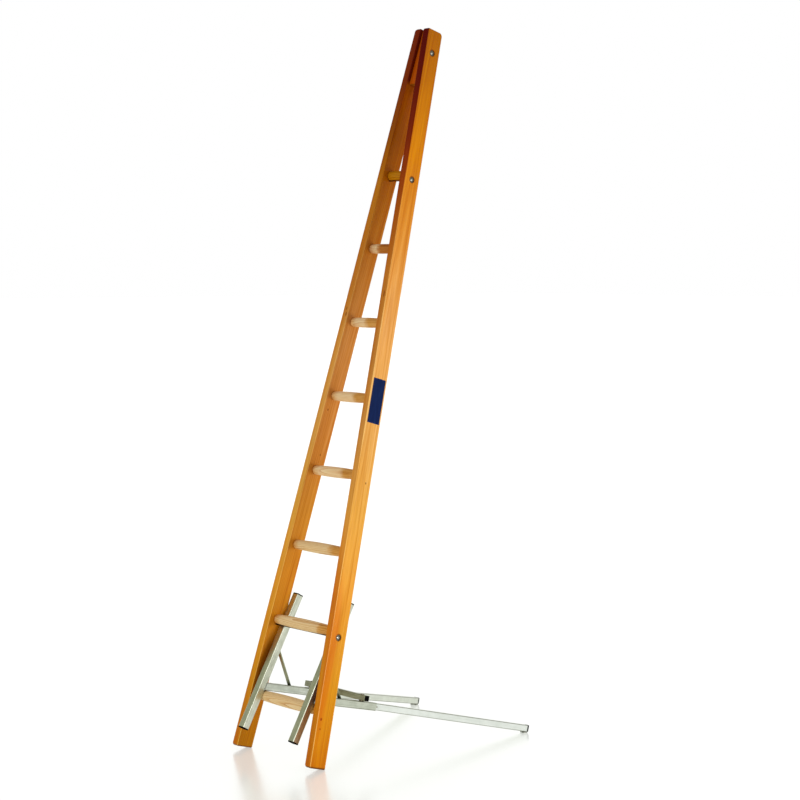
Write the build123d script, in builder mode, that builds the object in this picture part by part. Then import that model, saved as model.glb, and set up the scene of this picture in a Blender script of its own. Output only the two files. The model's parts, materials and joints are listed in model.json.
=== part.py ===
from build123d import *
import os
from math import asin, atan2, cos, hypot, radians, sin, sqrt

# A pointed wooden window cleaner's ladder that stands by itself on a clip-in aluminium prop.
# Z is up, X runs across the ladder and the ladder leans back towards +Y. Sizes are in millimetres.

# Ladder: stiles
stile_length = 2425
stile_depth = 65
stile_thickness = 27
foot_width = 400
head_width = 67.5
stile_arris = 4
tip_front_round = 6
tip_back_round = 13
left_tip_crown = 18
right_tip_crown = 5
foot_round = 9
ladder_lean = 15.6

# Ladder: rungs, turned to a barrel and tenoned into stopped holes
rung_count = 8
rung_pitch = 250
first_rung = 176
rung_middle_low = 38
rung_middle_high = 31
rung_end_diameter = 29.5
tenon_diameter = 22
tenon_depth = 18
tenon_end_gap = 0.3
glue_line = 0.05
barrel_relief = 1.5

# Ladder: head block and tie rods
head_block_length = 185
head_block_drop = 3
head_block_recess = 12
head_block_arris = 1.5
head_rod_drop = 79.5
tie_rod_diameter = 5
tie_rod_drop = 17
tie_rod_clearance = 0.1
rod_groove_clearance = 0.3
washer_diameter = 19
washer_thickness = 1.5
washer_recess = 3.5
washer_clearance = 0.5
rivet_diameter = 9
rivet_height = 2

# Prop: uprights
upright_size = 25.4
upright_wall = 1.6
upright_corner = 3
upright_side_gap = 3.5
left_upright_above = 341
right_upright_above = 347
upright_below = 121
cap_thickness = 4
cap_edge = 1.2
plug_length = 12
plug_clearance = 0.1
seat_clearance = 0.3

# Prop: leg sleeves, braces and cross bar
sleeve_size = 25.4
sleeve_wall = 1.5
sleeve_corner = 3
sleeve_mouth = 247
brace_width = 13
brace_thickness = 4
brace_top = 152
brace_foot = 95.5
cross_bar_overhang = 24
cross_bar_size = 19
cross_bar_wall = 1.5
cross_bar_corner = 2
cross_bar_place = 190
end_plug_thickness = 1.2
end_plug_rim = 1
spacer_height = 2
spacer_diameter = 16
bolt_diameter = 6
bolt_clearance = 0.1
bolt_head_diameter = 12
bolt_head_height = 2
bolt_head_edge = 1.5

# Legs: tubes that plug into the sleeves
leg_clearance = 0.1
leg_wall = 1.6
leg_corner = 2.5
leg_insertion = 120
leg_stub = 14
leg_bend_radius = 40
leg_spread = 550
prop_reach = 797.5
leg_end_height = 13.2
button_diameter = 7
button_height = 2.5
button_shank = 5
foot_size = 23.4
foot_corner = 3
foot_thickness = 5
foot_edge = 1
sole_length = 12

# Ladder geometry: the front plane has X across, Y up the ladder and Z out of its front face
across = (1, 0, 0)
lean = radians(ladder_lean)
foot_lift = stile_arris * (1 - cos(lean)) + (stile_depth / 2 - stile_arris) * sin(lean)
front = Plane(origin=(0, 0, foot_lift), x_dir=across, z_dir=(0, -cos(lean), sin(lean)))
up_ladder = Axis(front.origin, front.y_dir)
out_of_front = Axis(front.origin, front.z_dir)
stile_taper = (foot_width - head_width) / 2 / stile_length
tenon_radius = tenon_diameter / 2
rung_end_radius = rung_end_diameter / 2
rod_radius = tie_rod_diameter / 2
rung_heights = [first_rung + i * rung_pitch for i in range(rung_count)]


def stile_outer(height):
    """Distance from the ladder's middle to a stile's outer face."""
    return foot_width / 2 - stile_taper * height


def stile_inner(height):
    """Distance from the ladder's middle to a stile's inner face."""
    return stile_outer(height) - stile_thickness


def barrel_half(height):
    """Half the length of a rung's barrel, which stops just short of the stiles."""
    return stile_inner(height) - barrel_relief


def rung_middle(height):
    """Radius of a rung at its middle: the upper, shorter rungs are slimmer."""
    share = (height - rung_heights[0]) / (rung_heights[-1] - rung_heights[0])
    return (rung_middle_low + share * (rung_middle_high - rung_middle_low)) / 2


def rung_radius(height, x):
    """Radius of a rung at a distance x from its middle: its profile is a circular arc."""
    swell = rung_middle(height) - rung_end_radius
    arc_radius = (barrel_half(height) ** 2 + swell**2) / (2 * swell)
    return rung_middle(height) - arc_radius + sqrt(arc_radius**2 - x**2)


def across_axis(height):
    """Axis across the ladder at a height measured up the ladder."""
    return Axis(front.from_local_coords((0, height, 0)), across)


# Tie rod heights up the ladder: under two of the rungs and through the head block
rod_heights = {
    "lower": rung_heights[1] - tie_rod_drop,
    "upper": rung_heights[-1] - tie_rod_drop,
    "head": stile_length - head_rod_drop,
}


def stile(tip_crown):
    """A slanting rail, rounded at its tip and the front of its foot, with soft arrises, stopped rung holes
    and tie rod holes. It is drawn on the right."""
    corners = [
        (stile_outer(0), 0),
        (stile_outer(stile_length), stile_length),
        (stile_inner(stile_length), stile_length),
        (stile_inner(0), 0),
    ]
    with BuildPart() as rail:
        with BuildSketch(front):
            with BuildLine():
                Polyline(*corners, close=True)
            make_face()
        extrude(amount=stile_depth / 2, both=True)
        tip_edges = rail.edges().filter_by(Axis.X).group_by(up_ladder)[-1].sort_by(out_of_front)
        fillet(tip_edges[-1], tip_front_round)
        tip_edges = rail.edges().filter_by(Axis.X).group_by(up_ladder)[-1].sort_by(out_of_front)
        fillet(tip_edges[0], tip_back_round)
        foot_edges = rail.edges().filter_by(Axis.X).group_by(up_ladder)[0].sort_by(out_of_front)
        fillet(foot_edges[-1], foot_round)
        foot_edges = rail.edges().filter_by(Axis.X).group_by(up_ladder)[0].sort_by(out_of_front)
        fillet(rail.edges().filter_by(Axis.X, reverse=True) + foot_edges[:1], stile_arris)
        with BuildSketch(front) as crowned:
            with BuildLine():
                Polyline(*corners, close=True)
            make_face()
            fillet(crowned.vertices().group_by(Axis.Y)[-1].sort_by(Axis.X)[-1], tip_crown)
        extrude(amount=stile_depth / 2, both=True, mode=Mode.INTERSECT)
        for height in rung_heights:
            with BuildSketch(front):
                with Locations((stile_inner(height) + tenon_depth, height)):
                    Rectangle(2 * tenon_depth, tenon_radius, align=(Align.MAX, Align.MIN))
            revolve(axis=across_axis(height), mode=Mode.SUBTRACT)
        for height in rod_heights.values():
            with BuildSketch(front):
                with Locations((stile_outer(height), height)):
                    hole_radius = rod_radius + tie_rod_clearance
                    Rectangle(4 * stile_thickness, hole_radius, align=(Align.CENTER, Align.MIN))
                with Locations((stile_outer(height) - washer_recess, height)):
                    seat_radius = washer_diameter / 2 + washer_clearance
                    Rectangle(stile_thickness, seat_radius, align=(Align.MIN, Align.MIN))
            revolve(axis=across_axis(height), mode=Mode.SUBTRACT)
    return rail


# Stiles: the tip of the left one was rounded off further on the outside
right_stile = stile(right_tip_crown)
with BuildPart() as left_stile:
    mirror(stile(left_tip_crown).part, about=Plane.YZ)

# Rungs: swelling barrel with rounded shoulders between plain tenons, grooved over a tie rod
rung_shoulder = 0.85 * (rung_end_radius - tenon_radius)
rungs = []
for height in rung_heights:
    tenon_end = stile_inner(height) + tenon_depth - tenon_end_gap
    tenon_top = height + tenon_radius - glue_line
    barrel_end = height + rung_end_radius
    half = barrel_half(height)
    with BuildPart() as rung:
        with BuildSketch(front) as rung_profile:
            with BuildLine():
                ThreePointArc((-half, barrel_end), (0, height + rung_middle(height)), (half, barrel_end))
                Polyline(
                    (half, barrel_end),
                    (half, tenon_top),
                    (tenon_end, tenon_top),
                    (tenon_end, height),
                    (-tenon_end, height),
                    (-tenon_end, tenon_top),
                    (-half, tenon_top),
                    (-half, barrel_end),
                )
            make_face()
            fillet(rung_profile.vertices().group_by(Axis.Y)[-1], rung_shoulder)
        revolve(axis=across_axis(height))
        for rod_height in rod_heights.values():
            with BuildSketch(front):
                with Locations((0, rod_height)):
                    Rectangle(2 * half, rod_radius + rod_groove_clearance, align=(Align.CENTER, Align.MIN))
            revolve(axis=across_axis(rod_height), mode=Mode.SUBTRACT)
    rungs.append(rung)

# Head block: wedge glued between the stiles, set back from their edges, with a hole for the top rod
block_top = stile_length - head_block_drop
block_foot = block_top - head_block_length
with BuildPart() as head_block:
    with BuildSketch(front):
        with BuildLine():
            Polyline(
                (stile_inner(block_foot) - glue_line, block_foot),
                (stile_inner(block_top) - glue_line, block_top),
                (glue_line - stile_inner(block_top), block_top),
                (glue_line - stile_inner(block_foot), block_foot),
                close=True,
            )
        make_face()
    extrude(amount=stile_depth / 2 - head_block_recess, both=True)
    chamfer(head_block.faces().filter_by(front).edges(), head_block_arris)
    with BuildSketch(front):
        with Locations((0, rod_heights["head"])):
            Rectangle(foot_width, rod_radius + tie_rod_clearance, align=(Align.CENTER, Align.MIN))
    revolve(axis=across_axis(rod_heights["head"]), mode=Mode.SUBTRACT)

# Tie rods with rivet heads closed over washers that are let into the stiles
tie_rods = {}
tie_rod_washers = {}
for name, height in rod_heights.items():
    washer_seat = stile_outer(height) - washer_recess
    head_seat = washer_seat + washer_thickness
    with BuildPart() as rod:
        with BuildSketch(front):
            with BuildLine():
                Polyline(
                    (0, height),
                    (0, height + rod_radius),
                    (head_seat, height + rod_radius),
                    (head_seat, height + rivet_diameter / 2),
                )
                TangentArc(
                    (head_seat + rivet_height, height),
                    (head_seat, height + rivet_diameter / 2),
                    tangent=(0, 1),
                )
                Line((head_seat + rivet_height, height), (0, height))
            make_face()
        revolve(axis=across_axis(height))
        mirror(about=Plane.YZ)
    with BuildPart() as washers:
        with BuildSketch(front):
            with Locations((washer_seat, height + rod_radius + tie_rod_clearance)):
                ring = (washer_diameter - tie_rod_diameter) / 2 - tie_rod_clearance
                Rectangle(washer_thickness, ring, align=(Align.MIN, Align.MIN))
        revolve(axis=across_axis(height))
        mirror(about=Plane.YZ)
    tie_rods[name] = rod
    tie_rod_washers[name] = washers

# Prop geometry: the uprights pass in front of rung 1 and behind rung 2, close beside the stiles
upright_x = stile_inner(rung_heights[1]) - upright_side_gap - upright_size / 2
upright_edge = upright_x - upright_size / 2
front_seat = rung_radius(rung_heights[0], upright_edge) + upright_size / 2 + seat_clearance
back_seat = rung_radius(rung_heights[1], upright_edge) + upright_size / 2 + seat_clearance
upright_lean = lean + asin((front_seat + back_seat) / rung_pitch)
rung_1_axis = front.from_local_coords((0, rung_heights[0], 0))
upright_back_normal = Vector(0, cos(upright_lean), -sin(upright_lean))
upright_base = Plane(
    origin=rung_1_axis - upright_back_normal * front_seat,
    x_dir=across,
    z_dir=(0, sin(upright_lean), cos(upright_lean)),
)
upright_back = Plane(
    origin=upright_base.origin + upright_back_normal * upright_size / 2,
    x_dir=across,
    z_dir=upright_back_normal,
)

# Prop geometry: each sleeve lies on rung 1 and points at the end of its leg on the floor.
# The leg plane has X across, Y back along the sleeves and Z square to them.
sleeve_edge = upright_x - sleeve_size / 2
sleeve_seat = rung_radius(rung_heights[0], sleeve_edge) + sleeve_size / 2 + seat_clearance
leg_fall = rung_1_axis.Z - leg_end_height
leg_span = hypot(prop_reach, leg_fall)
leg_slope = atan2(leg_fall, prop_reach) + asin(sleeve_seat / leg_span)
leg_end_place = sqrt(leg_span**2 - sleeve_seat**2)
leg_normal = Vector(0, sin(leg_slope), cos(leg_slope))
leg_plane = Plane(origin=rung_1_axis + leg_normal * sleeve_seat, x_dir=across, z_dir=leg_normal)
leg_direction = leg_plane.y_dir
sleeve_bore = sleeve_size - 2 * sleeve_wall
leg_size = sleeve_bore - 2 * leg_clearance


def square_tube(size, wall, corner):
    """Draws the section of a square tube with rounded corners."""
    RectangleRounded(size, size, corner)
    bore = size - 2 * wall
    RectangleRounded(bore, bore, max(corner - wall, wall / 4), mode=Mode.SUBTRACT)


def upright(x, above):
    """A plain length of square tube that stands this far above rung 1."""
    with BuildPart() as tube:
        with BuildSketch(upright_base.offset(-upright_below)):
            with Locations((x, 0)):
                square_tube(upright_size, upright_wall, upright_corner)
        extrude(amount=upright_below + above)
    return tube


# Uprights: the right one was cut a little longer
left_upright = upright(-upright_x, left_upright_above)
right_upright = upright(upright_x, right_upright_above)


def tube_plug(mouth, place, size, wall, corner, thickness):
    """Push-in plug for a square tube: a head over the end of the tube and a shank inside it."""
    with BuildPart() as plug:
        with BuildSketch(mouth):
            with Locations(place):
                RectangleRounded(size, size, corner)
        extrude(amount=thickness)
        end_face = plug.faces().sort_by(Axis(mouth.origin, mouth.z_dir))[-1]
        fillet(end_face.edges(), min(cap_edge, thickness / 2))
        with BuildSketch(mouth):
            with Locations(place):
                shank = size - 2 * wall - 2 * plug_clearance
                RectangleRounded(shank, shank, corner / 2)
        extrude(amount=-plug_length)
    return plug


# Black caps on both ends of both uprights
left_top = upright_base.offset(left_upright_above)
right_top = upright_base.offset(right_upright_above)
upright_bottom = Plane(
    origin=upright_base.offset(-upright_below).origin,
    x_dir=across,
    z_dir=-upright_base.z_dir,
)
left_place = (-upright_x, 0)
right_place = (upright_x, 0)
upright_section = (upright_size, upright_wall, upright_corner)
left_top_cap = tube_plug(left_top, left_place, *upright_section, cap_thickness)
right_top_cap = tube_plug(right_top, right_place, *upright_section, cap_thickness)
left_bottom_cap = tube_plug(upright_bottom, left_place, *upright_section, cap_thickness)
right_bottom_cap = tube_plug(upright_bottom, right_place, *upright_section, cap_thickness)

# Leg sleeves: tube mitred to the back of the upright, with a bolt hole in its top wall
mouth_plane = Plane(
    origin=leg_plane.from_local_coords((upright_x, sleeve_mouth, 0)),
    x_dir=across,
    z_dir=leg_direction,
)
sleeve_top = leg_plane.offset(sleeve_size / 2)
bolt_place = (upright_x, cross_bar_place)
with BuildPart() as right_leg_sleeve:
    with BuildSketch(mouth_plane):
        square_tube(sleeve_size, sleeve_wall, sleeve_corner)
    extrude(amount=-(sleeve_mouth + 4 * upright_size))
    split(bisect_by=upright_back, keep=Keep.TOP)
    with BuildSketch(sleeve_top):
        with Locations(bolt_place):
            Circle(bolt_diameter / 2 + bolt_clearance)
    extrude(amount=-2 * sleeve_wall, mode=Mode.SUBTRACT)

with BuildPart() as left_leg_sleeve:
    mirror(right_leg_sleeve.part, about=Plane.YZ)

# Braces: flat bar cut to the back of the upright and the top of the sleeve
brace_start = upright_back.from_local_coords((upright_x, 0, 0)) + upright_base.z_dir * brace_top
brace_end = leg_plane.from_local_coords((upright_x, brace_foot, sleeve_size / 2))
brace_run = brace_end - brace_start
with BuildPart() as right_brace:
    with BuildSketch(Plane(origin=brace_start - brace_run, x_dir=across, z_dir=brace_run)):
        Rectangle(brace_width, brace_thickness)
    extrude(amount=3 * brace_run.length)
    split(bisect_by=upright_back, keep=Keep.TOP)
    split(bisect_by=sleeve_top, keep=Keep.TOP)

with BuildPart() as left_brace:
    mirror(right_brace.part, about=Plane.YZ)

# Cross bar: square tube over both sleeves, on spacers, with a black plug in each end.
# The flange of a plug leaves the rim of the tube bare.
cross_bar_half = upright_x + cross_bar_overhang
cross_bar_height = sleeve_size / 2 + spacer_height + cross_bar_size / 2
cross_bar_end = Plane(
    origin=leg_plane.from_local_coords((cross_bar_half, cross_bar_place, cross_bar_height)),
    x_dir=leg_direction,
    z_dir=across,
)
cross_bar_top = leg_plane.offset(cross_bar_height + cross_bar_size / 2)
with BuildPart() as cross_bar:
    with BuildSketch(cross_bar_end):
        square_tube(cross_bar_size, cross_bar_wall, cross_bar_corner)
    extrude(amount=-2 * cross_bar_half)
    with BuildSketch(cross_bar_top):
        with Locations(bolt_place, (-upright_x, cross_bar_place)):
            Circle(bolt_diameter / 2 + bolt_clearance)
    extrude(amount=-cross_bar_size, mode=Mode.SUBTRACT)

plug_flange = cross_bar_size - 2 * end_plug_rim
plug_section = (plug_flange, cross_bar_wall - end_plug_rim, cross_bar_corner)
right_end_plug = tube_plug(cross_bar_end, (0, 0), *plug_section, end_plug_thickness)

with BuildPart() as left_end_plug:
    mirror(right_end_plug.part, about=Plane.YZ)

# Spacers between sleeve and cross bar, and the bolts through them
with BuildPart() as right_spacer:
    with BuildSketch(sleeve_top):
        with Locations(bolt_place):
            Circle(spacer_diameter / 2)
            Circle(bolt_diameter / 2 + bolt_clearance, mode=Mode.SUBTRACT)
    extrude(amount=spacer_height)

with BuildPart() as left_spacer:
    mirror(right_spacer.part, about=Plane.YZ)

with BuildPart() as right_bolt:
    with BuildSketch(cross_bar_top):
        with Locations(bolt_place):
            Circle(bolt_head_diameter / 2)
    extrude(amount=bolt_head_height)
    fillet(right_bolt.edges().group_by(Axis(leg_plane.origin, leg_plane.z_dir))[-1], bolt_head_edge)
    with BuildSketch(cross_bar_top):
        with Locations(bolt_place):
            Circle(bolt_diameter / 2)
    extrude(amount=-(cross_bar_size + spacer_height + sleeve_wall))

with BuildPart() as left_bolt:
    mirror(right_bolt.part, about=Plane.YZ)

# Leg tubes: straight in the sleeve, bent outwards just behind its mouth, with a hole for the button
button_place = sleeve_mouth + seat_clearance + button_diameter / 2
button_seat = upright_x + leg_size / 2
button_face = Plane(origin=leg_plane.from_local_coords((button_seat, button_place, 0)), z_dir=across)
with BuildPart() as right_leg_tube:
    with BuildLine(leg_plane) as leg_path:
        FilletPolyline(
            (upright_x, sleeve_mouth - leg_insertion),
            (upright_x, sleeve_mouth + leg_stub),
            (leg_spread / 2, leg_end_place),
            radius=leg_bend_radius,
        )
    with BuildSketch(Plane(origin=leg_path.line @ 0, x_dir=across, z_dir=leg_path.line % 0)):
        square_tube(leg_size, leg_wall, leg_corner)
    sweep()
    with BuildSketch(button_face):
        Circle(button_shank / 2 + leg_clearance)
    extrude(amount=-2 * leg_wall, mode=Mode.SUBTRACT)

with BuildPart() as left_leg_tube:
    mirror(right_leg_tube.part, about=Plane.YZ)

# Stop buttons: domed heads that meet the mouth of the sleeve when the leg is pushed home
with BuildPart() as right_stop_button:
    with BuildSketch(leg_plane):
        with BuildLine():
            Polyline(
                (button_seat + button_height, button_place),
                (button_seat - leg_wall, button_place),
                (button_seat - leg_wall, button_place + button_shank / 2),
                (button_seat, button_place + button_shank / 2),
                (button_seat, button_place + button_diameter / 2),
            )
            TangentArc(
                (button_seat + button_height, button_place),
                (button_seat, button_place + button_diameter / 2),
                tangent=(0, 1),
            )
        make_face()
    revolve(axis=Axis(button_face.origin, across))

with BuildPart() as left_stop_button:
    mirror(right_stop_button.part, about=Plane.YZ)

# Feet: cap over the end of the tube, plug inside it and a sole under it that is flat on the floor
leg_end_direction = leg_path.line % 1
leg_end = Plane(
    origin=leg_path.line @ 1,
    x_dir=leg_end_direction.cross(leg_normal),
    z_dir=leg_end_direction,
)
with BuildPart() as right_foot:
    with BuildSketch(leg_end):
        RectangleRounded(foot_size, foot_size, foot_corner)
    extrude(amount=foot_thickness)
    fillet(right_foot.faces().sort_by(Axis(leg_end.origin, leg_end.z_dir))[-1].edges(), foot_edge)
    with BuildSketch(leg_end):
        foot_plug = leg_size - 2 * leg_wall - 2 * plug_clearance
        RectangleRounded(foot_plug, foot_plug, leg_corner / 2)
    extrude(amount=-plug_length)
    with BuildSketch(leg_end):
        with Locations((0, leg_size / 2)):
            Rectangle(foot_size, leg_end_height, align=(Align.CENTER, Align.MIN))
    extrude(amount=-sole_length)
    split(bisect_by=Plane.XY, keep=Keep.TOP)

with BuildPart() as left_foot:
    mirror(right_foot.part, about=Plane.YZ)

# Every piece by the name of its node
pieces = {"left_stile": left_stile, "right_stile": right_stile, "head_block": head_block}
pieces |= {f"rung_{i + 1}": rung for i, rung in enumerate(rungs)}
pieces |= {f"tie_rod_{name}": rod for name, rod in tie_rods.items()}
pieces |= {f"tie_rod_{name}_washers": washers for name, washers in tie_rod_washers.items()}
pieces |= {
    "left_upright": left_upright,
    "right_upright": right_upright,
    "left_top_cap": left_top_cap,
    "right_top_cap": right_top_cap,
    "left_bottom_cap": left_bottom_cap,
    "right_bottom_cap": right_bottom_cap,
    "left_leg_sleeve": left_leg_sleeve,
    "right_leg_sleeve": right_leg_sleeve,
    "left_brace": left_brace,
    "right_brace": right_brace,
    "cross_bar": cross_bar,
    "left_end_plug": left_end_plug,
    "right_end_plug": right_end_plug,
    "left_spacer": left_spacer,
    "right_spacer": right_spacer,
    "left_bolt": left_bolt,
    "right_bolt": right_bolt,
    "left_leg_tube": left_leg_tube,
    "right_leg_tube": right_leg_tube,
    "left_stop_button": left_stop_button,
    "right_stop_button": right_stop_button,
    "left_foot": left_foot,
    "right_foot": right_foot,
}

# The origin is on the floor, in the middle of the space that the ladder and its prop take up
space = Compound([piece.part for piece in pieces.values()]).bounding_box()
to_origin = Location((-space.center().X, -space.center().Y, -space.min.Z))
os.makedirs("parts", exist_ok=True)
for name, piece in pieces.items():
    piece.part.move(to_origin)
    piece.part.label = name
    export_step(piece.part, f"parts/{name}.step")

# Places that the joints and mounts need, in the finished frame
for name, place in {
    "prop hinge": rung_1_axis,
    "leg slide": leg_plane.from_local_coords((upright_x, sleeve_mouth, 0)),
    "stile foot": front.from_local_coords(((stile_outer(0) + stile_inner(0)) / 2, 0, 0)),
    "leg end": leg_end.origin,
}.items():
    print(name, (to_origin * Location(place)).position)
print("leg direction", leg_direction, "up the ladder", front.y_dir, "floor shift", space.min.Z)
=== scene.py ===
import json
from math import asin, atan2, cos, pi, radians

import bpy
from mathutils import Euler, Matrix, Vector


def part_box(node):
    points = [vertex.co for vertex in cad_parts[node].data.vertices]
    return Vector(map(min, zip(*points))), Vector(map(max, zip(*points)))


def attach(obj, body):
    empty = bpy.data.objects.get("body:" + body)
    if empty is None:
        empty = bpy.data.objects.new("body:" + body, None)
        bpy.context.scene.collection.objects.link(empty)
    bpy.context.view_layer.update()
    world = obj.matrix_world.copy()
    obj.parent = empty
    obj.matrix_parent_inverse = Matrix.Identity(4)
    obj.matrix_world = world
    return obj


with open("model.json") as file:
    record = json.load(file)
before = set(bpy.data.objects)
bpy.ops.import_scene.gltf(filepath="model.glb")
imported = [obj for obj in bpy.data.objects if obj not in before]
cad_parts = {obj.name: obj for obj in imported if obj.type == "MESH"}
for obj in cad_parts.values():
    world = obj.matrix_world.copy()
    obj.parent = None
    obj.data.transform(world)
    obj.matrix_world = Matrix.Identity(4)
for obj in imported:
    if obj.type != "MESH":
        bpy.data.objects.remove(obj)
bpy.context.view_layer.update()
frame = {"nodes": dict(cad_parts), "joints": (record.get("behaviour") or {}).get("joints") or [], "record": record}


# Stiles: two long rails of straight-grained fir, planed, with rounded arrises, tips and feet.
# They lean back and draw together towards the head. Clear gloss varnish, gone amber, covers them all over,
# and the year rings run along the rail as fine darker lines.
nodes = frame["nodes"]
mounts = {mount["name"]: mount for mount in frame["record"]["mounts"]}
joints = {joint["name"]: joint for joint in frame["joints"]}
sides = {"left": -1, "right": 1}
ladder_up = -Vector(mounts["right_stile_foot"]["axis"])
ladder_front = Vector((0, -ladder_up.z, ladder_up.y))
ladder_lean = atan2(ladder_up.y, ladder_up.z)
outer_face = max(nodes["right_stile"].data.polygons, key=lambda facet: facet.area * facet.normal.x)
stile_out = outer_face.normal.copy()
stile_turn = asin(stile_out.dot(ladder_up))


def extent(name, direction):
    """The lowest and highest place of a CAD node along a direction."""
    places = [corner.co.dot(direction) for corner in nodes[name].data.vertices]
    return min(places), max(places)


stile_low, stile_high = extent("right_stile", ladder_up)
stile_length = stile_high - stile_low
stile_back, stile_front = extent("right_stile", ladder_front)
front_edge = (stile_back - stile_front) / 2
stile_inside, stile_outside = extent("right_stile", stile_out)
half_thickness = (stile_outside - stile_inside) / 2 / cos(stile_turn)
block_foot = (extent("head_block", ladder_up)[0] - stile_low) / cos(stile_turn)
rung_1 = Vector(joints["prop_swing"]["pos_m"])
ladder_foot = rung_1 - ladder_up * (rung_1.dot(ladder_up) - stile_low)
stile_feet = {
    side: ladder_foot + Vector((mounts[f"{side}_stile_foot"]["pos_m"][0], 0, 0)) for side in sides}


def linear(code):
    """An sRGB hex colour as linear RGBA."""
    shares = [int(code[i:i + 2], 16) / 255 for i in (0, 2, 4)]
    return [s / 12.92 if s <= 0.04045 else ((s + 0.055) / 1.055) ** 2.4 for s in shares] + [1.0]


def node(owner, kind, inputs=None, stops=None, **settings):
    """Adds a node to a material or world, or takes the one of that name, and sets and links its inputs."""
    tree = owner.node_tree
    made = tree.nodes.get(kind) or tree.nodes.new(kind)
    for name, value in settings.items():
        setattr(made, name, value)
    for name, value in (inputs or {}).items():
        if isinstance(value, bpy.types.NodeSocket):
            tree.links.new(value, made.inputs[name])
        else:
            made.inputs[name].default_value = value
    if stops:
        elements = made.color_ramp.elements
        elements[0].position = stops[0][0]
        elements[1].position = stops[-1][0]
        for place, colour in stops[1:-1]:
            elements.new(place)
        for element, (place, colour) in zip(elements, stops):
            element.color = linear(colour)
    return made


def new_material(name):
    """A new material, whose Principled shader the finishes below feed."""
    material = bpy.data.materials.new(name)
    material.use_nodes = True
    return material


def dress(material, *names):
    """Gives CAD nodes their finish."""
    for name in names:
        for slot in nodes[name].material_slots:
            slot.material = material


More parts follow.
